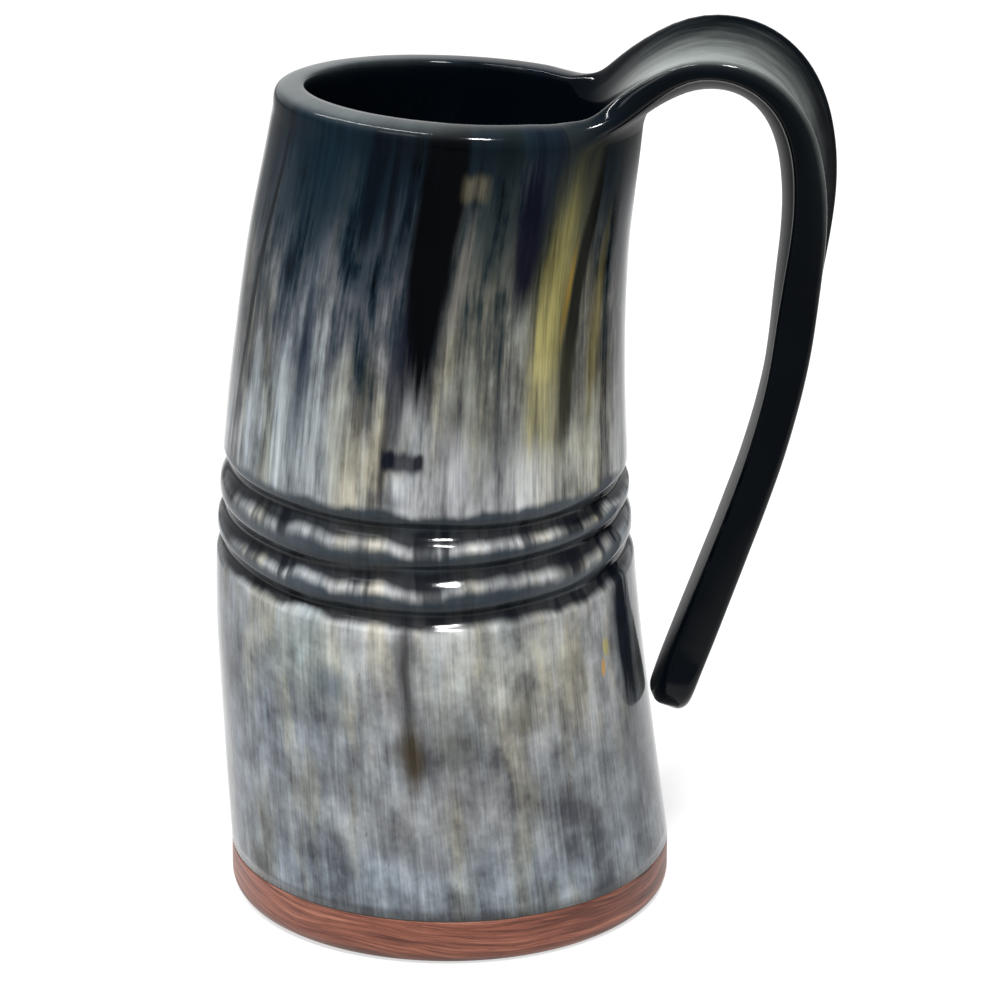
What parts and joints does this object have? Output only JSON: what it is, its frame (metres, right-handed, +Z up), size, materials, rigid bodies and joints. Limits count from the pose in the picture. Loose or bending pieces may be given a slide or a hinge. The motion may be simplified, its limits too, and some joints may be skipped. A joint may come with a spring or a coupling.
{
  "type": "horn drinking cup",
  "caption": "Drinking cup of polished horn with carved rings, its wall drawn out and bent down as the handle, on a turned wooden base.",
  "frame": {"origin": "centre of the wooden foot, on the face that it stands on", "axes": "+Z up, along the cup, +X from the cup's middle towards its handle, +Y away from the viewer of the picture"},
  "size_m": [0.1178, 0.0852, 0.173],
  "materials": {
    "horn": "natural horn, polished, black at the rim and handle and streaked grey below",
    "wood": "turned reddish hardwood, satin",
    "glue": "cured epoxy, a thin brown line",
    "resin": "clear food-safe sealing resin, glossy"
  },
  "bodies": {
    "root": {"horn": "horn", "wood_base": "wood", "joint_glue": "glue", "seal_layer": "resin"}
  },
  "joints": []
}
